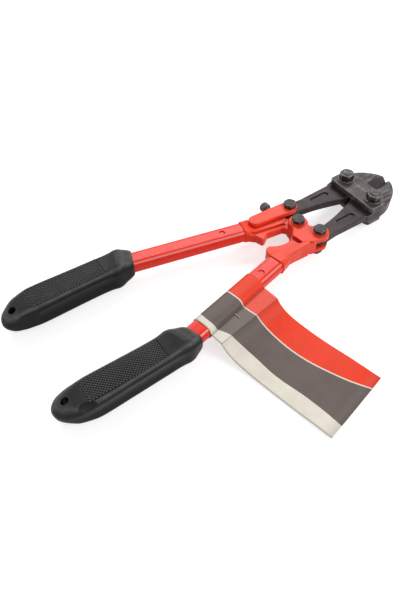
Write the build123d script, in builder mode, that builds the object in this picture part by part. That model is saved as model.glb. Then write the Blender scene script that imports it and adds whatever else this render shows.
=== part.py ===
from build123d import *
import math
import os

os.makedirs("parts", exist_ok=True)

# Millimetres. The cutters lie closed on a table, jaws towards +X, resting on Z = 0.
# The centre pivot of the two handles is the origin in plan, the lower side is the -Y side.
mid_z = 15.0
side_gap = 0.3
pin_gap = 0.05
cut_over = 2.0

# Pivots of the upper side; the lower side mirrors them in Y.
jaw_pivot = (7.0, 19.6)
link_pivot = (71.6, 17.0)
clevis_pivot = (-29.3, 22.6)
low_jaw_pivot = (jaw_pivot[0], -jaw_pivot[1])
link_pivots = [link_pivot, (link_pivot[0], -link_pivot[1])]
screw_x = -6.5

# Jaws: thick heads, thinner arms, a bevelled pair of cutting edges.
head_half = 5.0
arm_half = 3.4
tang_radius = 6.6
edge_y = 0.2
edge_land = 0.9
jaw_outer = [(7.0, 26.2), (24.0, 24.6), (57.5, 25.4), (59.5, 26.6), (70.0, 26.8)]
jaw_nose = [(70.0, 26.8), (92.2, 22.0), (106.4, 8.4)]
jaw_tip = [(106.4, 8.4), (108.0, 4.6), (108.8, edge_y)]
jaw_heel = [(72.0, edge_y), (66.0, 0.9), (58.0, 2.9), (45.0, 6.6), (32.0, 9.9), (18.0, 12.3), (7.0, 13.0)]
arm_step = [(61.0, arm_half), (64.5, head_half)]
bevel_widths = [(83.0, 5.0), (90.0, 6.4), (97.0, 6.8), (102.0, 6.4), (105.6, 5.2), (109.4, 3.4)]
pocket_centre = (40.5, 17.0)
pocket_size = (20.0, 5.6)
pocket_depth = 1.1
arm_back = -10.0
arm_rim = 0.9
level_slack = 0.01
long_edge = 5.0
bevel_over = 0.05

# Link plates across both jaws, with their bolts, washers and nuts.
plate_thick = 4.5
plate_rear = 61.0
plate_front = 84.6
plate_ridge = 74.6
plate_fall = 1.5
plate_half = 26.4
plate_side = [(plate_rear, 23.4), (62.8, plate_half), (77.0, plate_half), (plate_front, 15.0)]
pad_radius = 7.6
plate_corner = 1.2
plate_edge = 0.5
link_shank = 3.5
link_flats = 11.5
link_head = 5.2
washer_radius = 7.2
washer_thick = 1.2
washer_edge = 0.3
link_nut = 6.0
thread_over = 0.9
plate_base = mid_z + head_half + side_gap
plate_face = plate_base + plate_thick

# Pivot bolts through the clevis and through the fork.
bolt_shank = 3.0
bolt_flats = 10.0
bolt_head = 3.6
bolt_nut = 5.5
head_crown = 0.6
nut_crown = 0.5
thread_edge = 0.5
boss_radius = 6.9
boss_rise = 0.6

# Adjuster clevis: two straps joined by a web along the outer edge.
strap_thick = 4.2
strap_rear = 5.6
strap_front = 6.7
web_inset = 3.2
web_ends = (-24.5, -1.5)
web_boss = 5.0
strap_edge = 0.6
slot_reach = 45.0
screw_radius = 3.0
screw_tip = 17.8
screw_head_y = 33.6
screw_head_long = 6.0
screw_head_radius = 4.2
screw_key = 4.0
screw_crown = 0.7
screw_point = 0.6
rear_pin = 2.5
pin_cover = 1.2
pin_edge = 0.3

# Handle tubes: rounded oblong section, splayed, then bent parallel inside the grips.
tube_start = (-42.7, 22.6)
tube_bend = (-143.0, 45.7)
tube_end = (-226.0, 48.0)
tube_wide = 16.5
tube_high = 12.0
tube_round = 4.5
tube_wall = 1.6
bend_radius = 45.0
plug_long = 24.0
plug_gap = 0.08
dimple_at = 18.8
dimple_radius = 2.7
dimple_sink = 0.9
dimple_taper = 20.0

# Sockets that carry the tubes: plug, rim, arm with rails, fork.
plug_wide = tube_wide - 2 * tube_wall - 2 * plug_gap
plug_high = tube_high - 2 * tube_wall - 2 * plug_gap - 2 * dimple_sink
plug_round = 2.0
rim_wide = 17.6
rim_high = 13.8
rim_round = 4.6
rim_run = 9.0
rim_change = 2.0
arm_foot_round = 1.5
body_foot_round = 3.0
plan_ease = 2.0
rail_half = 4.2
groove_half = 2.3
groove_taper = -20.0
pad_margin = 0.8
tongue_radius = 8.5
tongue_hole = 4.95
fork_half = 8.0
body_half = 6.2
step_floor = 5.0
slot_half = arm_half + side_gap
slot_radius = 11.0
tongue_clear = 0.6
ear_radius = 8.4
ear_wall = 1.0
cast_rim = 0.8
arm_outline = [
    (-44.4, 14.4), (-38.4, 9.0), (-36.2, 2.4), (-33.8, 2.4), (-27.4, 6.6), (-12.6, 4.6), (-8.4, -0.6),
    (0.0, 0.0), (-1.0, 8.4), (-2.6, 12.6), (-4.2, 17.0), (-9.5, 17.0), (-20.0, 20.4), (-25.5, 23.8),
    (-27.5, 27.0), (-33.5, 28.4), (-40.8, 30.8),
]
groove_outline = [(-38.5, 13.8), (-8.0, 7.8), (-8.0, 5.8), (-38.5, 11.2)]
body_lug = [(-44.4, -14.4), (-43.4, -10.9), (-41.0, -8.2), (-37.4, -7.6)]
body_inner = [(-37.4, -7.6), (-28.6, -11.9), (-16.3, -11.7)]
body_outer = [
    (-16.3, -11.7), (-8.2, -2.4), (0.0, 0.0), (5.0, -7.6), (6.8, -11.4), (7.0, -19.6), (5.0, -27.5),
    (-1.0, -26.4), (-17.0, -25.6), (-29.7, -26.4), (-40.8, -30.6), (-44.4, -14.4),
]
fork_outline = [
    (-8.2, -2.4), (0.0, 0.0), (5.0, -7.6), (6.8, -11.4), (7.0, -19.6), (5.0, -27.5),
    (-1.0, -26.4), (-5.0, -26.0), (-13.8, -20.6), (-16.3, -11.7),
]
step_outline = [(-17.6, -9.4), (-14.6, -8.6), (-12.8, -19.4), (-13.4, -20.8), (-15.4, -20.6)]
ramp_span = (19.8, 25.2)
ramp_ends = (-36.0, -8.0)
slot_outline = [
    (0.0, 12.0), (40.0, 12.0), (40.0, -45.0), (-1.5, -45.0), (-1.5, -19.6), (-6.0, -9.0), (-4.0, 0.0),
]

# Rubber grips: stations along X with centre, turn in degrees, width, height and corner radius.
# The nose bends towards the other grip.
grip_mouth = (-140.0, 45.0, 13.0, 21.4, 17.4, 5.2)
grip_stations = [
    (-143.4, 45.6, 13.0, 29.4, 27.6, 6.4),
    (-149.0, 46.2, 12.0, 29.8, 28.2, 6.0),
    (-155.0, 46.6, 9.0, 27.4, 26.2, 5.2),
    (-164.0, 46.9, 5.0, 25.6, 24.6, 4.7),
    (-195.0, 47.8, 1.6, 26.6, 24.4, 4.5),
    (-222.0, 48.0, -1.0, 27.2, 23.8, 4.9),
    (-234.0, 46.8, -8.0, 25.4, 22.0, 6.8),
    (-242.0, 44.6, -15.0, 21.4, 18.0, 7.6),
    (-247.0, 42.8, -19.0, 15.4, 12.6, 5.9),
    (-249.4, 41.9, -20.0, 8.6, 6.6, 3.2),
]
grip_front = [grip_mouth, grip_stations[0]]
scoop_radius = 9.0
scoop_centres = [(-230.0, y, mid_z + z) for y in (30.9, 63.7) for z in (15.0, -15.0)]
hang_hole = (-240.6, 45.4)
hang_radius = 3.0
panel_rear = -228.0
panel_front = -161.0
panel_wide = 19.6
panel_y = 47.5
panel_corner = 2.5
panel_floor = 11.7
panel_cut = 4.0

# Retail tag wrapped round the lower tube: strip limits along the tube and its profile.
tag_near = 26.5
tag_far = 88.5
tag_gap = 0.4
tag_loop = 0.9
tag_top = [(7.6, 16.6), (14.0, 15.4), (20.5, 14.6), (27.0, 9.6), (40.0, 4.4), (62.0, 2.4), (119.0, 2.2)]
tag_under = [(119.0, 0.9), (62.0, 1.0), (38.0, 2.8), (25.5, 8.0), (19.6, 12.8), (14.0, 13.6), (7.6, 14.2)]
staple_at = 62.0
staple_legs = (10.0, 14.2)
staple_wire = 0.6
staple_outline = [
    (9.7, -1.2), (9.7, 1.95), (14.5, 1.2), (14.5, -1.6),
    (13.9, -1.6), (13.9, 0.66), (10.3, 1.27), (10.3, -1.2),
]


def lower(points):
    return [(x, -y) for x, y in points]


def hull_outline(first, first_radius, second, second_radius):
    # Two circles and their outer tangents as one face.
    along = math.atan2(second[1] - first[1], second[0] - first[0])
    reach = math.dist(first, second)
    lean = math.acos((first_radius - second_radius) / reach)
    corners = []
    for turn in (lean, -lean):
        for centre, radius in ((first, first_radius), (second, second_radius)):
            angle = along + turn
            corners.append((centre[0] + radius * math.cos(angle), centre[1] + radius * math.sin(angle)))
    with BuildSketch() as outline:
        Polygon(corners[0], corners[1], corners[3], corners[2], align=None)
        with Locations(first):
            Circle(first_radius)
        with Locations(second):
            Circle(second_radius)
    return outline.sketch


def bevelled_slab(plan_face, half, ease, rim):
    # Plate about the middle plane, inner corners of its plan eased, rims bevelled.
    with BuildPart() as slab:
        with BuildSketch(Plane.XY.offset(mid_z)):
            add(plan_face)
            offset(amount=ease)
            offset(amount=-ease)
        extrude(amount=half, both=True)
        chamfer(slab.edges().group_by(Axis.Z)[-1], rim)
        chamfer(slab.edges().group_by(Axis.Z)[0], rim)
    return slab.part


def hex_block(flats, height, crown):
    # Hexagon whose outer corners are turned away at the top.
    with BuildPart() as block:
        with BuildSketch():
            Circle(flats / math.sqrt(3))
        extrude(amount=height)
        chamfer(block.edges().group_by(Axis.Z)[-1], crown, 2 * crown)
        with BuildSketch():
            RegularPolygon(flats / 2, 6, major_radius=False)
        extrude(amount=height, mode=Mode.INTERSECT)
    return block.part


def hex_bolt(flats, head, shank_radius, shank_long):
    # Head above Z = 0, shank hanging below it with a chamfered end.
    with BuildPart() as bolt:
        add(hex_block(flats, head, head_crown))
        with BuildSketch():
            Circle(shank_radius)
        extrude(amount=-shank_long)
        chamfer(bolt.edges().group_by(Axis.Z)[0], thread_edge)
    return bolt.part


def hex_nut(flats, height, shank_radius):
    with BuildPart() as nut:
        add(hex_block(flats, height, nut_crown))
        with BuildSketch():
            Circle(shank_radius + pin_gap)
        extrude(amount=height, mode=Mode.SUBTRACT)
    return nut.part


def tube_plane(start, toward):
    # Cross-section plane of a straight tube run, local X level and local Y upright.
    run = Vector(toward[0] - start[0], toward[1] - start[1], 0).normalized()
    return Plane(origin=(start[0], start[1], mid_z), x_dir=(-run.Y, run.X, 0), z_dir=run)


def tube_solid(wide, high, corner):
    # Solid sweep of one rounded oblong section along the bent handle line.
    start = Vector(tube_start[0], tube_start[1], mid_z)
    corner_point = Vector(tube_bend[0], tube_bend[1], mid_z)
    end = Vector(tube_end[0], tube_end[1], mid_z)
    with BuildPart() as run:
        with BuildLine() as path:
            FilletPolyline(start, corner_point, end, radius=bend_radius)
        with BuildSketch(tube_plane(tube_start, tube_bend)):
            RectangleRounded(wide, high, corner)
        sweep(path=path.line)
    return run.part


def grip_plane(x, y, turn):
    # Plane across the grip, leaning with its centre line.
    lean = math.radians(turn)
    return Plane(
        origin=(x, y, mid_z),
        x_dir=(math.sin(lean), math.cos(lean), 0),
        z_dir=(-math.cos(lean), math.sin(lean), 0),
    )


def link_plate():
    # Level at the back, falling away to the front, flat pads under the nuts.
    with BuildPart() as plate:
        with BuildSketch(Plane.XY.offset(plate_base)):
            Polygon(*plate_side, *lower(plate_side)[::-1], align=None)
        extrude(amount=plate_thick)
        fillet(plate.edges().filter_by(Axis.Z), plate_corner)
        chamfer(plate.edges().group_by(Axis.Z)[-1], plate_edge)
        with BuildSketch(Plane.XZ):
            Polygon(
                (plate_ridge, plate_face),
                (plate_front + cut_over, plate_face - plate_fall),
                (plate_front + cut_over, plate_face + cut_over),
                (plate_ridge, plate_face + cut_over),
                align=None,
            )
        extrude(amount=2 * plate_half, both=True, mode=Mode.SUBTRACT)
        with BuildSketch(Plane.XY.offset(plate_base)):
            with Locations(*link_pivots):
                Circle(pad_radius)
        extrude(amount=plate_thick)
        with BuildSketch(Plane.XY.offset(plate_base)):
            with Locations(*link_pivots):
                Circle(link_shank + pin_gap)
        extrude(amount=plate_thick, mode=Mode.SUBTRACT)
    return plate.part


# Upper jaw: outline at full head thickness, arm thinned from both faces.
with BuildPart() as upper_jaw:
    with BuildSketch(Plane.XY.offset(mid_z)):
        with BuildLine():
            Polyline(*jaw_outer)
            ThreePointArc(*jaw_nose)
            ThreePointArc(*jaw_tip)
            Line(jaw_tip[-1], jaw_heel[0])
            Spline(*jaw_heel, tangents=[(-1, 0), (-1, 0.05)])
            Line(jaw_heel[-1], jaw_outer[0])
        make_face()
        with Locations(jaw_pivot):
            Circle(tang_radius)
    extrude(amount=head_half, both=True)
    for side in (1, -1):
        with BuildSketch(Plane.XZ):
            Polygon(
                (arm_back, mid_z + side * arm_half),
                (arm_step[0][0], mid_z + side * arm_step[0][1]),
                (arm_step[1][0], mid_z + side * arm_step[1][1]),
                (arm_step[1][0], mid_z + side * 2 * head_half),
                (arm_back, mid_z + side * 2 * head_half),
                align=None,
            )
        extrude(amount=2 * plate_half, both=True, mode=Mode.SUBTRACT)
    arm_edges = upper_jaw.edges().filter_by(
        lambda edge: abs(abs(edge.center().Z - mid_z) - arm_half) < level_slack and edge.length > long_edge
    )
    fillet(arm_edges.filter_by(lambda edge: edge.bounding_box().size.X > long_edge), arm_rim)
    for side in (1, -1):
        for station, width in bevel_widths:
            with BuildSketch(Plane.YZ.offset(station)):
                Polygon(
                    (-cut_over, mid_z + side * edge_land),
                    (edge_y, mid_z + side * edge_land),
                    (width, mid_z + side * (head_half + bevel_over)),
                    (width, mid_z + side * (head_half + cut_over)),
                    (-cut_over, mid_z + side * (head_half + cut_over)),
                    align=None,
                )
        loft(ruled=True, mode=Mode.SUBTRACT)
    for side in (1, -1):
        with BuildSketch(Plane.XY.offset(mid_z + side * arm_half)):
            with Locations(pocket_centre):
                SlotOverall(*pocket_size)
        extrude(amount=-side * pocket_depth, mode=Mode.SUBTRACT)
    with BuildSketch(Plane.XY.offset(mid_z)):
        with Locations(link_pivot):
            Circle(link_shank + pin_gap)
        with Locations(jaw_pivot):
            Circle(bolt_shank + pin_gap)
    extrude(amount=2 * head_half, both=True, mode=Mode.SUBTRACT)
upper_jaw.part.label = "upper_jaw"

with BuildPart() as lower_jaw:
    mirror(upper_jaw.part, about=Plane.XZ)
lower_jaw.part.label = "lower_jaw"

# Link plates above and below the jaw heads.
with BuildPart() as link_plate_top:
    add(link_plate())
link_plate_top.part.label = "link_plate_top"

with BuildPart() as link_plate_bottom:
    mirror(link_plate(), about=Plane.XY.offset(mid_z))
link_plate_bottom.part.label = "link_plate_bottom"

plate_under = 2 * mid_z - plate_face
nut_base = plate_face + washer_thick
shank_long = nut_base + link_nut + thread_over - plate_under
with BuildPart() as link_bolts:
    with Locations(*[Location((x, y, plate_under), (180, 0, 0)) for x, y in link_pivots]):
        add(hex_bolt(link_flats, link_head, link_shank, shank_long))
link_bolts.part.label = "link_bolts"

with BuildPart() as link_washers:
    with BuildSketch(Plane.XY.offset(plate_face)):
        with Locations(*link_pivots):
            Circle(washer_radius)
            Circle(link_shank + pin_gap, mode=Mode.SUBTRACT)
    extrude(amount=washer_thick)
    top_rings = link_washers.edges().group_by(Axis.Z)[-1]
    chamfer(top_rings.filter_by(lambda edge: edge.radius > washer_radius - pin_gap), washer_edge)
link_washers.part.label = "link_washers"

with BuildPart() as link_nuts:
    with Locations(*[(x, y, nut_base) for x, y in link_pivots]):
        add(hex_nut(link_flats, link_nut, link_shank))
link_nuts.part.label = "link_nuts"

# Adjuster clevis: one outline, slotted for the arm and the jaw tang, web left along the outside,
# pin hole bored from below and left blind under the top face.
strap_base = mid_z + slot_half
strap_face = strap_base + strap_thick
strap_under = 2 * mid_z - strap_face
pin_long = strap_face - pin_cover - strap_under
clevis_outline = hull_outline(clevis_pivot, strap_rear, jaw_pivot, strap_front)
with BuildPart() as adjuster_clevis:
    with BuildSketch(Plane.XY.offset(mid_z)):
        add(clevis_outline)
    extrude(amount=slot_half + strap_thick, both=True)
    chamfer(adjuster_clevis.edges().group_by(Axis.Z)[-1], strap_edge)
    chamfer(adjuster_clevis.edges().group_by(Axis.Z)[0], strap_edge)
    with BuildSketch(Plane.XY.offset(mid_z)):
        Rectangle(2 * slot_reach, 2 * slot_reach)
        with Locations(((web_ends[0] + web_ends[1]) / 2, clevis_pivot[1] + strap_rear - web_inset)):
            Rectangle(
                web_ends[1] - web_ends[0], slot_reach, align=(Align.CENTER, Align.MIN), mode=Mode.SUBTRACT
            )
    extrude(amount=slot_half, both=True, mode=Mode.SUBTRACT)
    with BuildSketch(Plane.XZ.offset(-(clevis_pivot[1] + strap_rear - web_inset))):
        with Locations((screw_x, mid_z)):
            Circle(web_boss)
    extrude(amount=-web_inset)
    with BuildSketch(Plane.XZ):
        with Locations((screw_x, mid_z)):
            Circle(screw_radius + pin_gap)
    extrude(amount=-2 * screw_head_y, mode=Mode.SUBTRACT)
    with BuildSketch(Plane.XY.offset(mid_z)):
        with Locations(jaw_pivot):
            Circle(bolt_shank + pin_gap)
    extrude(amount=2 * fork_half, both=True, mode=Mode.SUBTRACT)
    with BuildSketch(Plane.XY.offset(strap_under)):
        with Locations(clevis_pivot):
            Circle(rear_pin + pin_gap)
    extrude(amount=pin_long + pin_gap, mode=Mode.SUBTRACT)
adjuster_clevis.part.label = "adjuster_clevis"

with BuildPart() as clevis_pin:
    with BuildSketch(Plane.XY.offset(strap_under)):
        with Locations(clevis_pivot):
            Circle(rear_pin)
    extrude(amount=pin_long)
    chamfer(clevis_pin.edges().group_by(Axis.Z)[0], pin_edge)
clevis_pin.part.label = "clevis_pin"

with BuildPart() as adjuster_screw:
    with BuildSketch(Plane.XZ.offset(-screw_tip)):
        with Locations((screw_x, mid_z)):
            Circle(screw_radius)
    extrude(amount=-(screw_head_y - screw_tip))
    with BuildSketch(Plane.XZ.offset(-screw_head_y)):
        with Locations((screw_x, mid_z)):
            Circle(screw_head_radius)
    extrude(amount=-screw_head_long)
    chamfer(adjuster_screw.edges().group_by(Axis.Y)[-1], screw_crown)
    chamfer(adjuster_screw.edges().group_by(Axis.Y)[0], screw_point)
    with BuildSketch(Plane.XZ.offset(-(screw_head_y + screw_head_long))):
        with Locations((screw_x, mid_z)):
            RegularPolygon(screw_key / 2, 6, major_radius=False)
    extrude(amount=screw_head_long / 2, mode=Mode.SUBTRACT)
adjuster_screw.part.label = "adjuster_screw"

# Pivot bolts hang from the top, their nuts sit underneath.
bolt_long = strap_face - strap_under + bolt_nut + thread_over
with BuildPart() as upper_jaw_bolt:
    with Locations((*jaw_pivot, strap_face)):
        add(hex_bolt(bolt_flats, bolt_head, bolt_shank, bolt_long))
upper_jaw_bolt.part.label = "upper_jaw_bolt"

with BuildPart() as upper_jaw_nut:
    with Locations(Location((*jaw_pivot, strap_under), (180, 0, 0))):
        add(hex_nut(bolt_flats, bolt_nut, bolt_shank))
upper_jaw_nut.part.label = "upper_jaw_nut"

fork_face = mid_z + fork_half + boss_rise
fork_under = 2 * mid_z - fork_face
fork_long = fork_face - fork_under + bolt_nut + thread_over
with BuildPart() as centre_bolt:
    with Locations((0, 0, fork_face)):
        add(hex_bolt(bolt_flats, bolt_head, bolt_shank, fork_long))
centre_bolt.part.label = "centre_bolt"

with BuildPart() as centre_nut:
    with Locations(Location((0, 0, fork_under), (180, 0, 0))):
        add(hex_nut(bolt_flats, bolt_nut, bolt_shank))
centre_nut.part.label = "centre_nut"

with BuildPart() as lower_jaw_bolt:
    with Locations((*low_jaw_pivot, fork_face)):
        add(hex_bolt(bolt_flats, bolt_head, bolt_shank, fork_long))
lower_jaw_bolt.part.label = "lower_jaw_bolt"

with BuildPart() as lower_jaw_nut:
    with Locations(Location((*low_jaw_pivot, fork_under), (180, 0, 0))):
        add(hex_nut(bolt_flats, bolt_nut, bolt_shank))
lower_jaw_nut.part.label = "lower_jaw_nut"

# Handle tubes with a crimped dimple over the socket plug.
tube_outer = tube_solid(tube_wide, tube_high, tube_round)
tube_inner = tube_solid(tube_wide - 2 * tube_wall, tube_high - 2 * tube_wall, tube_round - tube_wall)
tube_bore = tube_solid(tube_wide + 2 * pin_gap, tube_high + 2 * pin_gap, tube_round + pin_gap)
start_plane = tube_plane(tube_start, tube_bend)
dimple_spot = start_plane.origin + start_plane.z_dir * dimple_at
with BuildPart() as upper_tube:
    add(tube_outer)
    add(tube_inner, mode=Mode.SUBTRACT)
    with BuildSketch(Plane.XY.offset(mid_z + tube_high / 2)):
        with Locations((dimple_spot.X, dimple_spot.Y)):
            Circle(dimple_radius)
    extrude(amount=-dimple_sink, taper=dimple_taper, mode=Mode.SUBTRACT)
upper_tube.part.label = "upper_tube"

with BuildPart() as lower_tube:
    mirror(upper_tube.part, about=Plane.XZ)
lower_tube.part.label = "lower_tube"

# Rubber grips: straight-sided mouth, lofted body, tube bore, scooped ridge ends, sunk panels above and
# below, hang hole.
with BuildPart() as upper_grip:
    for stations, straight in ((grip_front, True), (grip_stations, False)):
        for x, y, turn, wide, high, corner in stations:
            with BuildSketch(grip_plane(x, y, turn)):
                RectangleRounded(wide, high, corner)
        loft(ruled=straight)
    add(tube_bore, mode=Mode.SUBTRACT)
    with Locations(*scoop_centres):
        Sphere(scoop_radius, mode=Mode.SUBTRACT)
    for side in (1, -1):
        with BuildSketch(Plane.XY.offset(mid_z + side * panel_floor)):
            with Locations(((panel_rear + panel_front) / 2, panel_y)):
                RectangleRounded(panel_front - panel_rear, panel_wide, panel_corner)
        extrude(amount=side * panel_cut, mode=Mode.SUBTRACT)
    with BuildSketch(Plane.XY.offset(mid_z)):
        with Locations(hang_hole):
            Circle(hang_radius)
    extrude(amount=mid_z, both=True, mode=Mode.SUBTRACT)
upper_grip.part.label = "upper_grip"

with BuildPart() as lower_grip:
    mirror(upper_grip.part, about=Plane.XZ)
lower_grip.part.label = "lower_grip"

# Upper socket: plug in the tube, rim falling to a flat arm with rails, tongue and lug.
pad_outline = hull_outline(clevis_pivot, strap_rear + pad_margin, jaw_pivot, strap_front + pad_margin)
with BuildSketch() as arm_plan:
    Polygon(*arm_outline, align=None)
    Circle(tongue_radius)
with BuildPart() as upper_socket:
    with BuildSketch(start_plane.offset(plug_long)):
        RectangleRounded(plug_wide, plug_high, plug_round)
    extrude(amount=-plug_long)
    with BuildSketch(start_plane):
        RectangleRounded(rim_wide, rim_high, rim_round)
    with BuildSketch(start_plane.offset(-rim_run)):
        RectangleRounded(rim_wide + rim_change, 2 * rail_half, arm_foot_round)
    loft()
    add(bevelled_slab(arm_plan.sketch, rail_half, plan_ease, cast_rim))
    for side in (1, -1):
        with BuildSketch(Plane.XY.offset(mid_z + side * arm_half)):
            add(pad_outline)
            Circle(slot_radius + tongue_clear)
        extrude(amount=side * fork_half, mode=Mode.SUBTRACT)
        with BuildSketch(Plane.XY.offset(mid_z + side * groove_half)):
            Polygon(*groove_outline, align=None)
        extrude(amount=side * fork_half, taper=groove_taper, mode=Mode.SUBTRACT)
    with BuildSketch(Plane.XY.offset(mid_z)):
        Circle(tongue_hole)
        with Locations(clevis_pivot):
            Circle(rear_pin + pin_gap)
    extrude(amount=2 * fork_half, both=True, mode=Mode.SUBTRACT)
upper_socket.part.label = "upper_socket"

# Lower socket: the same plug and rim, a deep body with a notch beside the fork,
# and the fork that holds the tongue and the jaw tang.
low_plane = tube_plane(*lower([tube_start, tube_bend]))
with BuildSketch() as fork_plan:
    Polygon(*fork_outline, align=None)
    Circle(tongue_radius)
    with Locations(low_jaw_pivot):
        Circle(ear_radius)
with BuildSketch() as body_plan:
    with BuildLine():
        Polyline(*body_lug)
        ThreePointArc(*body_inner)
        Polyline(*body_outer)
    make_face()
    add(fork_plan.sketch)
with BuildPart() as lower_socket:
    with BuildSketch(low_plane.offset(plug_long)):
        RectangleRounded(plug_wide, plug_high, plug_round)
    extrude(amount=-plug_long)
    with BuildSketch(low_plane):
        RectangleRounded(rim_wide, rim_high, rim_round)
    with BuildSketch(low_plane.offset(-rim_run)):
        RectangleRounded(rim_wide - rim_change, 2 * body_half, body_foot_round)
    loft()
    add(bevelled_slab(body_plan.sketch, body_half, plan_ease, cast_rim))
    add(bevelled_slab(fork_plan.sketch, fork_half, plan_ease, cast_rim))
    for side in (1, -1):
        with BuildSketch(Plane.XZ.offset(ramp_span[0])):
            Polygon(
                (ramp_ends[0], mid_z + side * body_half),
                (ramp_ends[1], mid_z + side * fork_half),
                (ramp_ends[1], mid_z),
                (ramp_ends[0], mid_z),
                align=None,
            )
        extrude(amount=ramp_span[1] - ramp_span[0])
        with BuildSketch(Plane.XY.offset(mid_z + side * step_floor)):
            Polygon(*step_outline, align=None)
        extrude(amount=side * fork_half, mode=Mode.SUBTRACT)
    with BuildSketch(Plane.XY.offset(fork_under)):
        with Locations((0, 0), low_jaw_pivot):
            Circle(boss_radius)
    extrude(amount=fork_face - fork_under)
    with BuildSketch(Plane.XY.offset(mid_z)):
        Polygon(*slot_outline, align=None)
        Circle(slot_radius)
        with Locations(low_jaw_pivot):
            Circle(ear_radius - ear_wall)
    extrude(amount=slot_half, both=True, mode=Mode.SUBTRACT)
    with BuildSketch(Plane.XY.offset(mid_z)):
        with Locations((0, 0), low_jaw_pivot):
            Circle(bolt_shank + pin_gap)
    extrude(amount=2 * fork_half, both=True, mode=Mode.SUBTRACT)
lower_socket.part.label = "lower_socket"

# Retail tag: a closed loop round the tube and a doubled tail that drops to the table.
staple_plane = low_plane.offset(staple_at)
with BuildPart() as card_tag:
    with BuildSketch(low_plane.offset(tag_near)):
        with BuildLine():
            Spline(*[(s, z - mid_z) for s, z in tag_top])
            Line((tag_top[-1][0], tag_top[-1][1] - mid_z), (tag_under[0][0], tag_under[0][1] - mid_z))
            Spline(*[(s, z - mid_z) for s, z in tag_under])
            Line((tag_under[-1][0], tag_under[-1][1] - mid_z), (tag_top[0][0], tag_top[0][1] - mid_z))
        make_face()
        loop_grow = 2 * (tag_gap + tag_loop)
        RectangleRounded(tube_wide + loop_grow, tube_high + loop_grow, tube_round + loop_grow / 2)
        RectangleRounded(
            tube_wide + 2 * tag_gap, tube_high + 2 * tag_gap, tube_round + tag_gap, mode=Mode.SUBTRACT
        )
    extrude(amount=tag_far - tag_near)
    with BuildSketch(staple_plane):
        with Locations(*[(s, 0) for s in staple_legs]):
            Rectangle(staple_wire + 2 * pin_gap, 2 * mid_z)
    extrude(amount=staple_wire / 2 + pin_gap, both=True, mode=Mode.SUBTRACT)
card_tag.part.label = "card_tag"

with BuildPart() as tag_staple:
    with BuildSketch(staple_plane):
        Polygon(*staple_outline, align=None)
    extrude(amount=staple_wire / 2, both=True)
tag_staple.part.label = "tag_staple"

for piece in (
    upper_jaw, lower_jaw, link_plate_top, link_plate_bottom, link_bolts, link_washers, link_nuts,
    adjuster_clevis, clevis_pin, adjuster_screw, upper_jaw_bolt, upper_jaw_nut, centre_bolt, centre_nut,
    lower_jaw_bolt, lower_jaw_nut, upper_tube, lower_tube, upper_grip, lower_grip, upper_socket,
    lower_socket, card_tag, tag_staple,
):
    export_step(piece.part, f"parts/{piece.part.label}.step")
    print(piece.part.label, round(piece.part.volume), len(piece.part.solids()), piece.part.is_valid)
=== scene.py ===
import math
import bmesh
import bpy
from mathutils import Matrix, Vector


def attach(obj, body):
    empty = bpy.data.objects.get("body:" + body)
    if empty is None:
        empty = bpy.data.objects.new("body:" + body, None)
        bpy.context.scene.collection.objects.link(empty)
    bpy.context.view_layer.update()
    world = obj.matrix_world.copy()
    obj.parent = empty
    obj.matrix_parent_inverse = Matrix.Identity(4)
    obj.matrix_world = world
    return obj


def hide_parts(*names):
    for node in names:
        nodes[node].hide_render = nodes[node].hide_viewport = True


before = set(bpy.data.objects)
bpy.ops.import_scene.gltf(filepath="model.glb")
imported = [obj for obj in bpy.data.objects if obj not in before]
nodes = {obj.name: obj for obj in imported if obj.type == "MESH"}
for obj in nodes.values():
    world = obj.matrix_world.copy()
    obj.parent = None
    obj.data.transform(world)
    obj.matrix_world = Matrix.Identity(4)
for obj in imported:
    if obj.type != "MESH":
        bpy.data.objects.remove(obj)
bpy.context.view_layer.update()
scene = bpy.context.scene
mm = 0.001
middleHeight = 15.0 * mm  # the level plane that halves the tool
print("frame loaded,", len(nodes), "nodes")


def newObject(name, data):
    made = bpy.data.objects.new(name, data)
    scene.collection.objects.link(made)
    return made


# small helpers for node trees

def setInputs(tree, node, values):
    for socket, value in values.items():
        if isinstance(value, bpy.types.NodeSocket):
            tree.links.new(value, node.inputs[socket])
        else:
            node.inputs[socket].default_value = value


def addNode(tree, kind, values=None, **settings):
    node = tree.nodes.new(kind)
    for name, value in settings.items():
        setattr(node, name, value)
    setInputs(tree, node, values or {})
    return node


def addMath(tree, operation, first, second=0.0, clamp=False):
    values = {0: first, 1: second}
    return addNode(tree, "ShaderNodeMath", values, operation=operation, use_clamp=clamp).outputs[0]


def addProduct(tree, *factors):
    product = factors[0]
    for factor in factors[1:]:
        product = addMath(tree, "MULTIPLY", product, factor)
    return product


def addGap(tree, first, second):
    return addMath(tree, "ABSOLUTE", addMath(tree, "SUBTRACT", first, second))


def addNoise(tree, coords, scale, detail, rough):
    values = {"Vector": coords, "Scale": scale, "Detail": detail, "Roughness": rough}
    return addNode(tree, "ShaderNodeTexNoise", values).outputs["Fac"]


def addRange(tree, value, low, high, newLow=0.0, newHigh=1.0):
    values = {"Value": value, "From Min": low, "From Max": high, "To Min": newLow, "To Max": newHigh}
    return addNode(tree, "ShaderNodeMapRange", values).outputs["Result"]


def addPeak(tree, value, low, middle, high):
    # rises from low to the middle and falls again to high
    rising = addRange(tree, value, low, middle)
    falling = addRange(tree, value, high, middle)
    return addProduct(tree, rising, falling)


def addPatches(tree, coords, patches):
    # noise spread from one strength to another
    noise = addNoise(tree, coords, patches["scale"], patches["detail"], patches["rough"])
    return addRange(tree, noise, *patches["spread"], *patches["strength"])


def addMix(tree, factor, first, second):
    # sockets by number, because the colour ones share their names with others
    return addNode(tree, "ShaderNodeMix", {0: factor, 6: first, 7: second}, data_type="RGBA").outputs[2]


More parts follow.
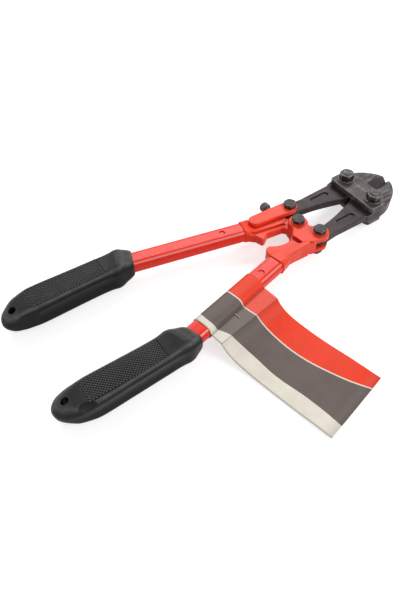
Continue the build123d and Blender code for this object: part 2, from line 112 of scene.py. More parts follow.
def addBump(tree, height, strength, distance, **more):
    values = {"Height": height, "Strength": strength, "Distance": distance, **more}
    return addNode(tree, "ShaderNodeBump", values).outputs["Normal"]


def objectCoords(tree):
    return addNode(tree, "ShaderNodeTexCoord").outputs["Object"]


def splitVector(tree, vector):
    return addNode(tree, "ShaderNodeSeparateXYZ", {"Vector": vector}).outputs


def uprightness(tree):
    # 1 where a face looks straight up or down, 0 on a wall
    facing = addNode(tree, "ShaderNodeTexCoord").outputs["Normal"]
    return addMath(tree, "ABSOLUTE", splitVector(tree, facing)["Z"])


def newGroup(name, inputs, outputs):
    group = bpy.data.node_groups.new(name, "ShaderNodeTree")
    for socket, kind, value in inputs:
        made = group.interface.new_socket(socket, in_out="INPUT", socket_type=kind)
        if value is not None:
            made.default_value = value
    for socket, kind in outputs:
        group.interface.new_socket(socket, in_out="OUTPUT", socket_type=kind)
    return group, addNode(group, "NodeGroupInput").outputs, addNode(group, "NodeGroupOutput")


def placeGroup(tree, group, values):
    return addNode(tree, "ShaderNodeGroup", values, node_tree=group).outputs


# shared effects

wearGlintSettings = {
    "radius": 0.6 * mm, "breakup": 400.0, "reach": 0.12, "samples": 6,
    "patches": {"detail": 5.0, "rough": 0.6, "spread": (0.3, 0.7), "strength": (1.8, 0.4)},
}


def buildEdgeWearGlint(cfg):
    # mask where the rounded normal leaves the face's own, its reach broken up by noise; the materials pale
    # their edges by it, partly as wear and partly as painted highlight
    group, given, out = newGroup(
        "edgeWearGlint",
        [("Vector", "NodeSocketVector", None), ("Radius", "NodeSocketFloat", cfg["radius"]),
         ("Breakup", "NodeSocketFloat", cfg["breakup"]), ("Reach", "NodeSocketFloat", cfg["reach"])],
        [("Mask", "NodeSocketFloat"), ("Normal", "NodeSocketVector")],
    )
    bevel = addNode(group, "ShaderNodeBevel", {"Radius": given["Radius"]}, samples=cfg["samples"])
    rounded = bevel.outputs["Normal"]
    facing = addNode(group, "ShaderNodeNewGeometry").outputs["Normal"]
    together = addNode(group, "ShaderNodeVectorMath", {0: rounded, 1: facing}, operation="DOT_PRODUCT")
    bend = addMath(group, "SUBTRACT", 1.0, together.outputs["Value"], clamp=True)
    patches = addPatches(group, given["Vector"], {**cfg["patches"], "scale": given["Breakup"]})
    limit = addProduct(group, given["Reach"], patches)
    setInputs(group, out, {"Mask": addMath(group, "DIVIDE", bend, limit, clamp=True), "Normal": rounded})
    return group


grainSettings = {
    "fine": 2500.0, "coarse": 90.0, "fineDetail": 3.0, "coarseDetail": 6.0, "rough": 0.6,
    "fineShare": 0.7, "coarseShare": 0.3, "patchFrom": 0.35, "patchTo": 0.65, "lowest": 0.3, "highest": 0.7,
}


def buildGrain(cfg):
    group, given, out = newGroup(
        "surfaceGrain",
        [("Vector", "NodeSocketVector", None), ("Fine", "NodeSocketFloat", cfg["fine"]),
         ("Coarse", "NodeSocketFloat", cfg["coarse"])],
        [("Height", "NodeSocketFloat"), ("Patches", "NodeSocketFloat")],
    )
    fine = addNoise(group, given["Vector"], given["Fine"], cfg["fineDetail"], cfg["rough"])
    coarse = addNoise(group, given["Vector"], given["Coarse"], cfg["coarseDetail"], cfg["rough"])
    fineHeight = addProduct(group, fine, cfg["fineShare"])
    coarseHeight = addProduct(group, coarse, cfg["coarseShare"])
    setInputs(group, out, {
        "Height": addMath(group, "ADD", fineHeight, coarseHeight),
        "Patches": addRange(group, coarse, cfg["patchFrom"], cfg["patchTo"])})
    return group


cavitySettings = {"distance": 3.0 * mm, "reach": 0.6, "samples": 8}


# painted shade: darkens the colour where a piece's own surfaces close round it
def buildCavity(cfg):
    group, given, out = newGroup(
        "hollowShade",
        [("Distance", "NodeSocketFloat", cfg["distance"]), ("Reach", "NodeSocketFloat", cfg["reach"])],
        [("Mask", "NodeSocketFloat")],
    )
    around = addNode(group, "ShaderNodeAmbientOcclusion", {"Distance": given["Distance"]},
                     samples=cfg["samples"], only_local=True)
    shut = addMath(group, "SUBTRACT", 1.0, around.outputs["AO"], clamp=True)
    setInputs(group, out, {"Mask": addMath(group, "DIVIDE", shut, given["Reach"], clamp=True)})
    return group


edgeWearGlint = buildEdgeWearGlint(wearGlintSettings)
surfaceGrain = buildGrain(grainSettings)
hollowShade = buildCavity(cavitySettings)


def blankMaterial(name):
    material = bpy.data.materials.new(name)
    material.use_nodes = True
    tree = material.node_tree
    tree.nodes.clear()
    return material, tree, addNode(tree, "ShaderNodeOutputMaterial").inputs["Surface"]


def newMaterial(name):
    material, tree, surface = blankMaterial(name)
    shader = addNode(tree, "ShaderNodeBsdfPrincipled")
    tree.links.new(shader.outputs["BSDF"], surface)
    return material, tree, shader


def wearAndShadeMaterial(name, look, local=None, edgeShadeZone=None):
    # body colour in two tones, painted shade in hollows, edges made paler partly as wear and partly as
    # painted highlight, grain in the bump;
    # local changes the body colour by place, and the last argument marks where edges get painted shade
    # instead
    material, tree, shader = newMaterial(name)
    coords = objectCoords(tree)
    wearGlint = placeGroup(tree, edgeWearGlint, {
        "Vector": coords, "Radius": look["edgeRadius"], "Breakup": look["breakup"], "Reach": look["reach"]})
    grain = placeGroup(tree, surfaceGrain, {
        "Vector": coords, "Fine": look["fine"], "Coarse": look["coarse"]})
    hollow = placeGroup(tree, hollowShade, {"Distance": look["hollowDepth"], "Reach": look["hollowReach"]})
    colour = addMix(tree, grain["Patches"], look["dark"], look["light"])
    if local:
        colour = local(tree, coords, colour, look)
    colour = addMix(tree, hollow["Mask"], colour, look["hollow"])
    rubbedGlint = look["wornGlint"]
    if edgeShadeZone:
        rubbedGlint = addMix(tree, edgeShadeZone(tree, coords, look), rubbedGlint, look["pocketShade"])
    colour = addMix(tree, addProduct(tree, wearGlint["Mask"], look["wearGlintShare"]), colour, rubbedGlint)
    rough = addRange(tree, grain["Height"], grainSettings["lowest"], grainSettings["highest"],
                     look["roughLow"], look["roughHigh"])
    bump = addBump(tree, grain["Height"], look["bump"], look["bumpDepth"], Normal=wearGlint["Normal"])
    setInputs(tree, shader, {
        "Base Color": colour, "Roughness": rough, "Normal": bump, "Metallic": look["metallic"],
        "Specular IOR Level": look["specular"], "Coat Weight": look["coat"],
        "Coat Roughness": look["coatRough"]})
    return material


def bevelShadeAndRubs(tree, coords, colour, look):
    # painted shade on the ground faces beside the cutting edges, with fine marks across them,
    # and pale rubs aslant over the front of the jaw
    place = splitVector(tree, coords)
    upright = uprightness(tree)
    ahead = addMath(tree, "GREATER_THAN", place["X"], look["bevelFrom"])
    inside = addMath(tree, "LESS_THAN", addMath(tree, "ABSOLUTE", place["Y"]), look["bevelWide"])
    tilted = addMath(tree, "LESS_THAN", upright, look["bevelFlattest"])
    notWall = addMath(tree, "GREATER_THAN", upright, look["bevelSteepest"])
    area = addProduct(tree, ahead, inside, tilted, notWall)
    drawn = addNode(tree, "ShaderNodeMapping", {"Vector": coords, "Scale": look["markScale"]})
    marks = addPatches(tree, drawn.outputs["Vector"], look["marks"])
    bevelShadeTone = addMix(tree, marks, look["bevelDark"], look["bevelLight"])
    aslant = addNode(tree, "ShaderNodeMapping", {
        "Vector": coords, "Rotation": look["rubTurn"], "Scale": look["rubScale"]})
    streaks = addPatches(tree, aslant.outputs["Vector"], look["rubStreaks"])
    front = addRange(tree, place["X"], look["rubFrom"], look["rubTo"])
    colour = addMix(tree, addProduct(tree, streaks, front), colour, look["rub"])
    return addMix(tree, area, colour, bevelShadeTone)


# where the jaw's oval pocket lies; its edges there get painted shade in place of the pale edge colour
def inPocket(tree, coords, look):
    along = addGap(tree, splitVector(tree, coords)["X"], look["pocketAt"])
    return addMath(tree, "LESS_THAN", along, look["pocketLong"])


def ridgeGlintAndStains(tree, coords, colour, look):
    # painted highlight as a bright line where the plate's top folds down, and warm stains in patches
    off = addGap(tree, splitVector(tree, coords)["X"], look["ridgeAt"])
    line = addRange(tree, off, look["ridgeWide"], 0.0)
    broken = addPatches(tree, coords, look["ridgeBreak"])
    colour = addMix(tree, addPatches(tree, coords, look["stainPatches"]), colour, look["stain"])
    return addMix(tree, addProduct(tree, line, broken), colour, look["wornGlint"])


def highlightLine(tree, coords, colour, look):
    # painted highlight as a pale line along the rounded upper and lower corners of a tube
    peak = addPeak(tree, uprightness(tree), look["lineFrom"], look["lineMid"], look["lineTo"])
    return addMix(tree, addProduct(tree, peak, look["lineShare"]), colour, look["line"])


jawLook = {
    "dark": (0.024, 0.0165, 0.018, 1), "light": (0.056, 0.042, 0.045, 1), "wornGlint": (0.33, 0.305, 0.30, 1),
    "hollow": (0.030, 0.024, 0.026, 1), "hollowDepth": 2.0 * mm, "hollowReach": 0.75,
    "edgeRadius": 0.7 * mm, "breakup": 260.0, "reach": 0.09, "wearGlintShare": 0.8,
    "fine": 2600.0, "coarse": 120.0, "bump": 0.4, "bumpDepth": 0.12 * mm,
    "roughLow": 0.36, "roughHigh": 0.56, "metallic": 0.3, "specular": 0.22, "coat": 0.0, "coatRough": 0.2,
    "rubFrom": 78.0 * mm, "rubTo": 92.0 * mm, "rub": (0.235, 0.222, 0.212, 1),
    "rubTurn": (0, 0, 0.9), "rubScale": (0.5, 3.0, 1.0),
    "rubStreaks": {"scale": 160.0, "detail": 5.0, "rough": 0.65, "spread": (0.44, 0.66),
                   "strength": (0.0, 0.62)},
    # pocket colour: painted shade on the pocket's edges; bevel colours: painted shade on the ground faces
    "pocketAt": 40.5 * mm, "pocketLong": 11.5 * mm, "pocketShade": (0.008, 0.006, 0.007, 1),
    "bevelFrom": 82.0 * mm, "bevelWide": 9.0 * mm, "bevelFlattest": 0.97, "bevelSteepest": 0.35,
    "bevelDark": (0.030, 0.020, 0.025, 1), "bevelLight": (0.058, 0.042, 0.050, 1),
    "markScale": (9.0, 0.6, 0.6),
    "marks": {"scale": 420.0, "detail": 3.0, "rough": 0.6, "spread": (0.35, 0.65), "strength": (0.0, 1.0)},
}
plateLook = {
    **jawLook,
    "dark": (0.046, 0.037, 0.037, 1), "light": (0.090, 0.075, 0.074, 1), "wornGlint": (0.42, 0.39, 0.36, 1),
    "ridgeAt": 74.6 * mm, "ridgeWide": 0.7 * mm, "stain": (0.165, 0.140, 0.118, 1),
    "ridgeBreak": {"scale": 300.0, "detail": 5.0, "rough": 0.65, "spread": (0.4, 0.58),
                   "strength": (0.0, 1.0)},
    "stainPatches": {"scale": 75.0, "detail": 4.0, "rough": 0.6, "spread": (0.45, 0.7),
                     "strength": (0.0, 0.8)},
}
nutLook = {
    **jawLook,
    "dark": (0.030, 0.026, 0.027, 1), "light": (0.070, 0.063, 0.064, 1), "wornGlint": (0.52, 0.50, 0.48, 1),
    "edgeRadius": 0.45 * mm, "breakup": 500.0, "reach": 0.08, "wearGlintShare": 0.85, "coarse": 260.0,
    "roughLow": 0.28, "roughHigh": 0.45, "bump": 0.25, "bumpDepth": 0.06 * mm, "metallic": 0.55,
}
# pale patches on the black heads are painted glints
oxideLook = {
    **nutLook,
    "dark": (0.002, 0.002, 0.002, 1), "light": (0.085, 0.080, 0.078, 1), "hollow": (0.005, 0.005, 0.005, 1),
    "wearGlintShare": 0.9, "specular": 0.11, "metallic": 0.1, "roughLow": 0.1, "roughHigh": 0.55, "coarse": 420.0,
}
castLook = {
    # edge colour: a pale orange, partly wear and partly painted highlight; hollow colour: deep red painted
    # shade
    "dark": (0.93, 0.048, 0.016, 1), "light": (0.98, 0.072, 0.024, 1), "wornGlint": (0.99, 0.18, 0.08, 1),
    "hollow": (0.46, 0.008, 0.007, 1), "hollowDepth": 3.0 * mm, "hollowReach": 0.8,
    "edgeRadius": 0.6 * mm, "breakup": 350.0, "reach": 0.16, "wearGlintShare": 0.5,
    "fine": 700.0, "coarse": 60.0, "bump": 0.3, "bumpDepth": 0.16 * mm,
    "roughLow": 0.26, "roughHigh": 0.42, "metallic": 0.0, "specular": 0.16, "coat": 0.06, "coatRough": 0.1,
}
tubeLook = {
    **castLook,
    "dark": (0.90, 0.022, 0.010, 1), "light": (0.97, 0.036, 0.014, 1), "coat": 0.14, "coatRough": 0.12,
    # line: colour of the painted highlight along the corners
    "line": (0.99, 0.46, 0.40, 1), "lineFrom": 0.64, "lineMid": 0.82, "lineTo": 0.95, "lineShare": 0.75,
    "fine": 500.0, "bump": 0.08, "roughLow": 0.2, "roughHigh": 0.32,
}
wireLook = {
    **nutLook,
    "dark": (0.24, 0.23, 0.225, 1), "light": (0.34, 0.33, 0.32, 1), "wornGlint": (0.46, 0.45, 0.44, 1),
    "edgeRadius": 0.1 * mm, "breakup": 900.0, "fine": 5000.0, "coarse": 600.0, "bumpDepth": 0.02 * mm,
    "roughLow": 0.5, "roughHigh": 0.62, "metallic": 0.8,
}

jawSteel = wearAndShadeMaterial("jawSteel", jawLook, bevelShadeAndRubs, inPocket)
plateSteel = wearAndShadeMaterial("plateSteel", plateLook, ridgeGlintAndStains)
nutSteel = wearAndShadeMaterial("nutSteel", nutLook)
blackOxide = wearAndShadeMaterial("blackOxide", oxideLook)
castEnamel = wearAndShadeMaterial("castEnamel", castLook)
tubeEnamel = wearAndShadeMaterial("tubeEnamel", tubeLook, highlightLine)
stapleWire = wearAndShadeMaterial("stapleWire", wireLook)


def setFinish(piece, finish):
    piece.data.materials.clear()
    piece.data.materials.append(finish)


nodeFinish = {
    jawSteel: ["upper_jaw", "lower_jaw"],
    plateSteel: ["link_plate_top", "link_plate_bottom"],
    nutSteel: ["link_bolts", "link_washers", "link_nuts"],
    blackOxide: ["upper_jaw_bolt", "upper_jaw_nut", "centre_bolt", "centre_nut", "lower_jaw_bolt",
                 "lower_jaw_nut", "adjuster_screw"],
    castEnamel: ["upper_socket", "lower_socket", "adjuster_clevis", "clevis_pin"],
    tubeEnamel: ["upper_tube", "lower_tube"],
    stapleWire: ["tag_staple"],
}
for finish, names in nodeFinish.items():
    for name in names:
        setFinish(nodes[name], finish)
print("finishes on the solid pieces")


# paper tag folded round the lower tube; s runs out from the tube, t along it, z up

tagSettings = {
    "tubeStart": (-42.7 * mm, -22.6 * mm), "tubeBend": (-143.0 * mm, -45.7 * mm), "tubeMid": middleHeight,
    "near": 26.5 * mm, "width": 62.0 * mm, "thickness": 0.26 * mm, "across": 40,
    "loopWide": 8.85 * mm, "loopHigh": 6.6 * mm, "loopPower": 3.0, "loopSteps": 40, "pinchAngle": 7.0,
    "under": [(119.0, 1.15), (90.0, 1.15), (62.0, 1.3), (40.0, 2.9), (30.0, 6.1), (24.6, 9.8), (21.4, 13.5),
              (21.1, 13.9), (20.5, 14.05), (14.0, 15.0), (9.6, 15.7)],
    "lineSteps": 4, "lineOrder": 3, "layerGap": 0.42 * mm,
    "foldFrom": 9.6 * mm, "foldAt": 20.6 * mm, "foldTo": 62.0 * mm, "foldSkew": 2.0 * mm,
    "creaseAt": 21.3 * mm,
    "waveHeight": 0.4 * mm, "waveOut": 140.0, "waveAlong": 60.0,  # waves in radians for each metre
    "cornerLift": 2.0 * mm, "liftFrom": 60.0 * mm,
    "band": {
        "red": [(0.0, 0.395), (0.2, 0.40), (0.3, 0.37), (0.6, 0.375), (0.8, 0.31), (1.0, 0.18)],
        "line": 0.018,
        "grey": [(0.0, 0.875), (0.14, 0.91), (0.26, 0.83), (0.38, 0.78), (0.6, 0.80), (0.8, 0.78),
                 (1.0, 0.81)],
    },
}


def tagLine(cfg):
    # control points of the folded strip, from the end of its under layer round the tube to the upper layer
    under = [(s * mm, z * mm) for s, z in cfg["under"]]
    points = list(under)
    power = 2 / cfg["loopPower"]
    for step in range(cfg["loopSteps"] + 1):
        share = step / cfg["loopSteps"]
        angle = -math.radians(cfg["pinchAngle"] + share * (360 - 2 * cfg["pinchAngle"]))
        out = math.cos(angle)
        up = math.sin(angle)
        s = cfg["loopWide"] * math.copysign(abs(out) ** power, out)
        z = cfg["tubeMid"] + cfg["loopHigh"] * math.copysign(abs(up) ** power, up)
        points.append((s, z))
    points += [(s, z + cfg["layerGap"]) for s, z in reversed(under)]
    return points


def smoothLine(cfg, points):
    data = bpy.data.curves.new("tagLine", "CURVE")
    data.dimensions = "3D"
    data.resolution_u = cfg["lineSteps"]
    spline = data.splines.new("NURBS")
    spline.points.add(len(points) - 1)
    for point, (s, z) in zip(spline.points, points):
        point.co = (s, 0, z, 1)
    spline.order_u = cfg["lineOrder"]
    spline.use_endpoint_u = True
    line = newObject("tagLine", data)
    bpy.context.view_layer.update()
    mesh = bpy.data.meshes.new_from_object(line)
    found = [(v.co.x, v.co.z) for v in mesh.vertices]
    bpy.data.objects.remove(line)
    bpy.data.meshes.remove(mesh)
    return found


def tagRise(cfg, s, t):
    # small waves in the tail and a lifted far corner, alike in both layers
    reach = cfg["under"][0][0] * mm
    share = max(0.0, (s - cfg["liftFrom"]) / (reach - cfg["liftFrom"]))
    ease = share * share * (3 - 2 * share)
    wave = cfg["waveHeight"] * ease * (1 + math.sin(cfg["waveOut"] * s + cfg["waveAlong"] * t))
    side = 1 - (t - cfg["near"]) / cfg["width"]
    return wave + cfg["cornerLift"] * ease * max(0.0, side - 0.5) * 2


def tagSkew(cfg, s, share):
    # the fold runs a little aslant to the tube
    if s < cfg["foldAt"]:
        fade = (s - cfg["foldFrom"]) / (cfg["foldAt"] - cfg["foldFrom"])
    else:
        fade = (cfg["foldTo"] - s) / (cfg["foldTo"] - cfg["foldAt"])
    return cfg["foldSkew"] * max(0.0, fade) * (1 - 2 * share)


def findCrease(line, lengths, at):
    # share of the strip's length at which its upper layer is this far out from the tube
    upper = [(abs(s - at), along) for (s, z), along in zip(line, lengths) if along > lengths[-1] / 2]
    return min(upper)[1] / lengths[-1]


def makeTag(cfg):
    start = Vector((*cfg["tubeStart"], 0))
    run = (Vector((*cfg["tubeBend"], 0)) - start).normalized()
    outward = Vector((-run.y, run.x, 0))
    line = smoothLine(cfg, tagLine(cfg))
    lengths = [0.0]
    for before, after in zip(line, line[1:]):
        lengths.append(lengths[-1] + math.dist(before, after))
    vertices = []
    uvs = []
    for (s, z), along in zip(line, lengths):
        for step in range(cfg["across"] + 1):
            share = step / cfg["across"]
            t = cfg["near"] + share * cfg["width"]
            place = start + run * t + outward * (s + tagSkew(cfg, s, share))
            vertices.append((place.x, place.y, z + tagRise(cfg, s, t)))
            uvs.append((along / lengths[-1], share))
    faces = []
    row = cfg["across"] + 1
    for i in range(len(line) - 1):
        for j in range(cfg["across"]):
            corner = i * row + j
            faces.append((corner, corner + row, corner + row + 1, corner + 1))
    mesh = bpy.data.meshes.new("tagSheet")
    mesh.from_pydata(vertices, [], faces)
    layer = mesh.uv_layers.new(name="printMap")
    for loop in mesh.loops:
        layer.data[loop.index].uv = uvs[loop.vertex_index]
    mesh.shade_smooth()
    tag = newObject("tagSheet", mesh)
    wall = tag.modifiers.new("paper", "SOLIDIFY")
    wall.thickness = cfg["thickness"]
    wall.offset = 0.0
    creases = [findCrease(line, lengths, cfg[key]) for key in ("foldFrom", "creaseAt")]
    return tag, lengths[-1], creases


paperLook = {
    "red": (0.92, 0.060, 0.024, 1), "cream": (0.86, 0.81, 0.70, 1), "grey": (0.158, 0.124, 0.110, 1),
    "fibre": {"scale": 1500.0, "detail": 4.0, "rough": 0.65}, "fray": 0.002, "fibreShare": 0.3,
    "scuff": {"scale": 60.0, "detail": 7.0, "rough": 0.7}, "scuffFrom": 0.3, "scuffTo": 0.7,
    "toneLow": 0.9, "toneHigh": 1.08, "roughLow": 0.38, "roughHigh": 0.55, "specular": 0.2,
    "bump": 0.3, "bumpDepth": 0.3 * mm,
    "creaseShade": (0.02, 0.016, 0.015, 1), "creaseWide": (0.0055, 0.0022), "creaseDark": (0.45, 0.5),
    "ledgeLightShare": 0.09,
}


def bandCurve(tree, along, points):
    # how far across the strip a band reaches, from the loop out to either end
    node = addNode(tree, "ShaderNodeFloatCurve", {"Value": along})
    curve = node.mapping.curves[0]
    curve.points[0].location = points[0]
    curve.points[1].location = points[-1]
    for spot in points[1:-1]:
        curve.points.new(*spot)
    node.mapping.update()
    return node.outputs["Value"]


def paperMaterial(look, band, creases):
    # plain printed bands with frayed edges, painted light that pales the ledge beside the tube, and painted
    # shade as a dark line in each crease
    material, tree, shader = newMaterial("printedPaper")
    uv = addNode(tree, "ShaderNodeUVMap", uv_map="printMap").outputs["UV"]
    along, across = splitVector(tree, uv)[:2]
    coords = objectCoords(tree)
    fibre = addNoise(tree, coords, **look["fibre"])
    edge = addMath(tree, "ADD", across, addRange(tree, fibre, 0.0, 1.0, -look["fray"], look["fray"]))
    outward = addMath(tree, "ABSOLUTE", addRange(tree, along, 0.0, 1.0, -1.0, 1.0))
    redEdge = bandCurve(tree, outward, band["red"])
    lineEdge = addMath(tree, "ADD", redEdge, band["line"])
    greyEdge = bandCurve(tree, outward, band["grey"])
    colour = look["red"]
    for limit, beyond in ((redEdge, look["cream"]), (lineEdge, look["grey"]), (greyEdge, look["cream"])):
        colour = addMix(tree, addMath(tree, "GREATER_THAN", edge, limit), colour, beyond)
    scuff = addNoise(tree, coords, **look["scuff"])
    tone = addRange(tree, scuff, look["scuffFrom"], look["scuffTo"], look["toneLow"], look["toneHigh"])
    colour = addNode(tree, "ShaderNodeHueSaturation", {"Color": colour, "Value": tone}).outputs["Color"]
    afterFold = addMath(tree, "GREATER_THAN", along, creases[0])
    beforeCrease = addMath(tree, "LESS_THAN", along, creases[1])
    ledge = addProduct(tree, afterFold, beforeCrease, look["ledgeLightShare"])
    colour = addMix(tree, ledge, colour, look["cream"])
    for at, wide, dark in zip(creases, look["creaseWide"], look["creaseDark"]):
        line = addRange(tree, addGap(tree, along, at), wide, 0.0, 0.0, dark)
        colour = addMix(tree, line, colour, look["creaseShade"])
    rough = addRange(tree, scuff, look["scuffFrom"], look["scuffTo"], look["roughLow"], look["roughHigh"])
    height = addMath(tree, "ADD", addProduct(tree, fibre, look["fibreShare"]), scuff)
    setInputs(tree, shader, {
        "Base Color": colour, "Roughness": rough, "Specular IOR Level": look["specular"],
        "Normal": addBump(tree, height, look["bump"], look["bumpDepth"])})
    return material


tag, tagLength, tagCreases = makeTag(tagSettings)
setFinish(tag, paperMaterial(paperLook, tagSettings["band"], tagCreases))
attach(tag, "handle_lower")
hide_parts("card_tag")
print("tag folded from a strip", round(tagLength / mm), "mm long")


# rubber grips: rings of a rounded oblong along X, in mm and degrees,
# given as x, y, lean, width, height, corner and how far the side walls sink in

gripSettings = {
    "stations": [
        (-138.4, 44.6, 20.0, 18.4, 14.6, 5.0, 0.0), (-139.6, 44.8, 20.0, 20.0, 16.6, 5.6, 0.0),
        (-145.4, 45.4, 21.0, 23.6, 21.4, 6.2, 0.0), (-150.4, 45.7, 21.0, 26.3, 25.0, 6.6, 0.0),
        (-152.4, 45.8, 20.0, 26.5, 25.2, 6.4, 0.1), (-156.5, 45.9, 16.0, 25.2, 23.9, 5.8, 0.5),
        (-161.5, 46.2, 10.0, 24.1, 22.8, 5.2, 1.0), (-168.0, 46.6, 6.0, 23.7, 22.4, 4.8, 1.3),
        (-195.0, 47.2, 2.0, 24.6, 22.4, 4.8, 1.3), (-222.0, 47.6, -1.0, 26.0, 22.4, 5.2, 1.2),
        (-234.0, 46.7, -8.0, 24.8, 21.2, 7.0, 0.6), (-242.0, 44.5, -15.0, 20.8, 17.4, 7.4, 0.1),
        (-247.0, 42.8, -19.0, 15.2, 12.4, 5.9, 0.0), (-249.4, 41.9, -20.0, 8.6, 6.6, 3.2, 0.0),
        (-250.3, 41.6, -20.0, 4.4, 3.2, 1.5, 0.0),
    ],
    "middle": middleHeight / mm, "ringGap": 1.0, "fewestRings": 3, "cornerSteps": 8, "sideSteps": 12,
    "sinkReach": 0.9, "sharpAngle": 32.0,
    "panel": {"from": -228.0, "to": -165.5, "y": 47.2, "wide": 19.6, "corner": 2.5, "cornerSteps": 4,
              "floor": 10.85, "top": 16.0},
    "scoop": {"x": -232.5, "y": -68.0, "up": 18.6, "radius": 15.6, "steps": 24},
    "flat": {"x": -237.0, "y": 36.9, "radius": 55.0, "steps": 240},
    "hole": {"x": -240.6, "y": 45.4, "radius": 3.0, "steps": 40},
}


def stationSlopes(xs, values):
    # slopes that let a curve through the stations rise and fall without overshoot
    gaps = [b - a for a, b in zip(xs, xs[1:])]
    rises = [(b - a) / gap for a, b, gap in zip(values, values[1:], gaps)]
    slopes = [rises[0]]
    for i in range(1, len(rises)):
        before, after = rises[i - 1], rises[i]
        if before * after <= 0:
            slopes.append(0.0)
        else:
            near = 2 * gaps[i] + gaps[i - 1]
            far = gaps[i] + 2 * gaps[i - 1]
            slopes.append((near + far) / (near / before + far / after))
    return slopes + [rises[-1]]


def smoothStations(cfg):
    stations = cfg["stations"]
    xs = [station[0] for station in stations]
    tracks = list(zip(*stations))[1:]
    slopes = [stationSlopes(xs, track) for track in tracks]
    rings = [stations[0]]
    for i in range(len(stations) - 1):
        gap = xs[i + 1] - xs[i]
        steps = max(cfg["fewestRings"], round(abs(gap) / cfg["ringGap"]))
        for step in range(1, steps + 1):
            u = step / steps
            ring = [xs[i] + u * gap]
            for track, slope in zip(tracks, slopes):
                ring.append(
                    (1 + 2 * u) * (1 - u) ** 2 * track[i] + u * (1 - u) ** 2 * gap * slope[i]
                    + u * u * (3 - 2 * u) * track[i + 1] + u * u * (u - 1) * gap * slope[i + 1])
            rings.append(ring)
    return rings


def roundedCorners(long, wide, corner, steps):
    # the four rounded corners of an oblong round the origin, one after another
    points = []
    for quarter, (ahead, across) in enumerate(((1, 1), (-1, 1), (-1, -1), (1, -1))):
        for step in range(steps + 1):
            angle = (quarter + step / steps) * math.pi / 2
            points.append((ahead * (long / 2 - corner) + corner * math.cos(angle),
                           across * (wide / 2 - corner) + corner * math.sin(angle)))
    return points


def ringPoints(cfg, wide, high, corner, sink):
    # the same count of points on every ring: four rounded corners joined by sides, the walls hollow
    points = roundedCorners(wide, high, corner, cfg["cornerSteps"])
    whole = []
    for i, point in enumerate(points):
        whole.append(point)
        if i % (cfg["cornerSteps"] + 1) == cfg["cornerSteps"]:
            after = points[(i + 1) % len(points)]
            for step in range(1, cfg["sideSteps"]):
                u = step / cfg["sideSteps"]
                whole.append((point[0] + u * (after[0] - point[0]), point[1] + u * (after[1] - point[1])))
    hollowed = []
    for s, z in whole:
        bell = max(0.0, math.cos(math.pi * z / (cfg["sinkReach"] * high))) ** 2
        hollowed.append((s - sink * bell * s / (wide / 2), z))
    return hollowed


def meshFrom(name, vertices, faces):
    # vertices in mm; faces turned outward
    mesh = bpy.data.meshes.new(name)
    mesh.from_pydata([Vector(v) * mm for v in vertices], [], faces)
    shape = bmesh.new()
    shape.from_mesh(mesh)
    bmesh.ops.recalc_face_normals(shape, faces=shape.faces)
    shape.to_mesh(mesh)
    shape.free()
    return mesh


def skinRings(rings):
    # vertices and faces of a closed skin over rings of equal count
    count = len(rings[0])
    vertices = [point for ring in rings for point in ring]
    faces = [tuple(range(count)), tuple(range(len(vertices) - count, len(vertices)))]
    for i in range(len(rings) - 1):
        for j in range(count):
            k = (j + 1) % count
            faces.append((i * count + j, i * count + k, (i + 1) * count + k, (i + 1) * count + j))
    return vertices, faces


def joinSkins(skins):
    vertices = []
    faces = []
    for some, theirs in skins:
        base = len(vertices)
        vertices += some
        faces += [tuple(base + i for i in face) for face in theirs]
    return vertices, faces


def circleLine(x, y, radius, steps):
    turns = [2 * math.pi * step / steps for step in range(steps)]
    return [(x + radius * math.cos(turn), y + radius * math.sin(turn)) for turn in turns]


def prismSkin(outline, low, high):
    return skinRings([[(x, y, z) for x, y in outline] for z in (low, high)])


def ballSkin(x, y, z, radius, steps):
    rings = []
    for step in range(1, steps):
        lift = math.pi * step / steps
        level = z + radius * math.cos(lift)
        circle = circleLine(x, y, radius * math.sin(lift), 2 * steps)
        rings.append([(*spot, level) for spot in circle])
    return skinRings(rings)


def gripCutters(cfg, side):
    # both grips are hollowed at the nose end of the same side: the upper one flat, the lower one round
    panel, scoop, flat, hole = cfg["panel"], cfg["scoop"], cfg["flat"], cfg["hole"]
    middle = cfg["middle"]
    low = middle - panel["top"]
    high = middle + panel["top"]
    centre = (panel["from"] + panel["to"]) / 2
    long = panel["to"] - panel["from"]
    corners = roundedCorners(long, panel["wide"], panel["corner"], panel["cornerSteps"])
    outline = [(centre + x, side * (panel["y"] + y)) for x, y in corners]
    panels = [prismSkin(outline, middle + up * panel["floor"], middle + up * panel["top"]) for up in (1, -1)]
    if side > 0:
        circle = circleLine(flat["x"], flat["y"] - flat["radius"], flat["radius"], flat["steps"])
        hollow = prismSkin(circle, low, high)
    else:
        hollow = ballSkin(scoop["x"], scoop["y"], middle + scoop["up"], scoop["radius"], scoop["steps"])
    drill = prismSkin(circleLine(hole["x"], side * hole["y"], hole["radius"], hole["steps"]), low, high)
    return [joinSkins(panels), hollow, drill]


def makeGrip(name, side, cfg):
    rings = []
    for x, y, lean, *size in smoothStations(cfg):
        ahead = math.sin(math.radians(lean))
        across = math.cos(math.radians(lean))
        rings.append([(x + s * ahead, side * (y + s * across), cfg["middle"] + z)
                      for s, z in ringPoints(cfg, *size)])
    body = newObject(name, meshFrom(name, *skinRings(rings)))
    cutters = [newObject("gripCut", meshFrom("gripCut", *skin)) for skin in gripCutters(cfg, side)]
    for cutter in cutters:
        cut = body.modifiers.new("cut", "BOOLEAN")
        cut.operation = "DIFFERENCE"
        cut.solver = "EXACT"
        cut.object = cutter
    bpy.context.view_layer.update()
    whole = body.evaluated_get(bpy.context.evaluated_depsgraph_get())
    mesh = bpy.data.meshes.new_from_object(whole)
    body.modifiers.clear()
    body.data = mesh
    for cutter in cutters:
        bpy.data.objects.remove(cutter)
    mesh.shade_smooth()
    mesh.set_sharp_from_angle(angle=math.radians(cfg["sharpAngle"]))
    return body


